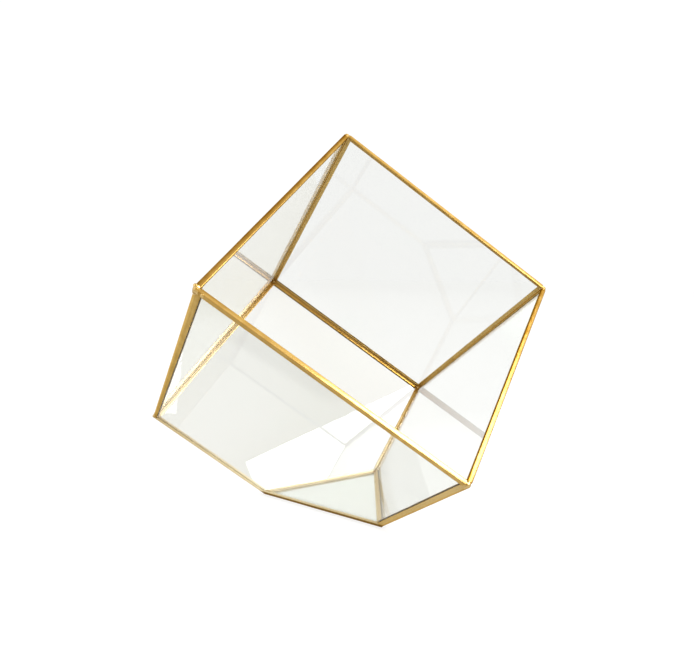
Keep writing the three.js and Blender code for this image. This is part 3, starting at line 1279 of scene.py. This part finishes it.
def studio_world():
    """White all round for the eye, and a warm room with soft lights for the metal."""
    world = bpy.data.worlds.new("studio_air")
    world.cycles.sampling_method = "NONE"
    finish = Finish(world)
    way = finish.coordinates("Generated")
    tone = ROOM_TONE
    for azimuth, elevation, near, far, patch in ROOM_PATCHES:
        low, high = math.cos(math.radians(far)), math.cos(math.radians(near))
        nearness = finish.between("DOT_PRODUCT", way, direction(azimuth, elevation))
        tone = finish.colour_mix(nearness.ramp(low, high), tone, patch)

    room = finish.node("ShaderNodeBackground", {}, {"Color": tone, "Strength": 1.0})
    plain = {"Color": (1, 1, 1, 1), "Strength": studio().backdrop}
    white = finish.node("ShaderNodeBackground", {}, plain)
    return finish.output(finish.mixed(finish.mirrored(), white, room))


def lay_floor():
    """The floor that the terrarium stands on."""
    bm = bmesh.new()
    bmesh.ops.create_grid(bm, x_segments=8, y_segments=8, size=FLOOR_REACH)
    floor = mesh_object(bm, "floor")
    floor.data.materials.append(floor_finish())


def set_camera():
    """The camera at the photograph's angle."""
    lens = bpy.data.cameras.new("camera")
    lens.lens = CAMERA_LENS
    lens.sensor_width = CAMERA_SENSOR
    lens.sensor_fit = "HORIZONTAL"
    lens.shift_y = CAMERA_SHIFT
    lens.clip_start = 0.01
    lens.clip_end = 60
    camera = add_object("camera", lens)
    turn = Euler([math.radians(angle) for angle in CAMERA_TURN]).to_matrix()
    camera.matrix_world = Matrix.Translation(CAMERA_AT) @ turn.to_4x4()
    bpy.context.scene.camera = camera


class TERRARIUM_OT_studio(bpy.types.Operator):
    """Lay the floor and set the light and the camera"""

    bl_idname = "terrarium.studio"
    bl_label = "Studio"

    def execute(self, context):
        scene = context.scene
        lay_floor()
        scene.world = studio_world()
        broad_lamp()
        square_light()
        set_camera()
        scene.view_settings.view_transform = "Standard"
        scene.cycles.use_denoising = True
        return {"FINISHED"}


# Panel and registration


class TERRARIUM_PT_panel(bpy.types.Panel):
    """Buttons and settings of the terrarium"""

    bl_idname = "TERRARIUM_PT_panel"
    bl_label = "Terrarium"
    bl_space_type = "VIEW_3D"
    bl_region_type = "UI"
    bl_category = "Terrarium"

    def draw(self, context):
        layout = self.layout
        for group in (sizes(), finish_colours(), studio()):
            box = layout.box()
            for name in group.__annotations__:
                box.prop(group, name)
        for operator in OPERATORS:
            layout.operator(operator.bl_idname)


OPERATORS = (
    TERRARIUM_OT_panes,
    TERRARIUM_OT_rims,
    TERRARIUM_OT_corner_strips,
    TERRARIUM_OT_solder,
    TERRARIUM_OT_studio,
)
CLASSES = (
    TerrariumSizes,
    TerrariumFinish,
    TerrariumStudio,
    *OPERATORS,
    TERRARIUM_PT_panel,
)


def register():
    for item in CLASSES:
        bpy.utils.register_class(item)
    bpy.types.Scene.terrarium_sizes = PointerProperty(type=TerrariumSizes)
    bpy.types.Scene.terrarium_finish = PointerProperty(type=TerrariumFinish)
    bpy.types.Scene.terrarium_studio = PointerProperty(type=TerrariumStudio)


def unregister():
    del bpy.types.Scene.terrarium_studio
    del bpy.types.Scene.terrarium_finish
    del bpy.types.Scene.terrarium_sizes
    for item in reversed(CLASSES):
        bpy.utils.unregister_class(item)


def main():
    register()
    bpy.ops.terrarium.panes()
    bpy.ops.terrarium.rims()
    bpy.ops.terrarium.corner_strips()
    bpy.ops.terrarium.solder()
    bpy.ops.terrarium.studio()


if __name__ == "__main__":
    main()
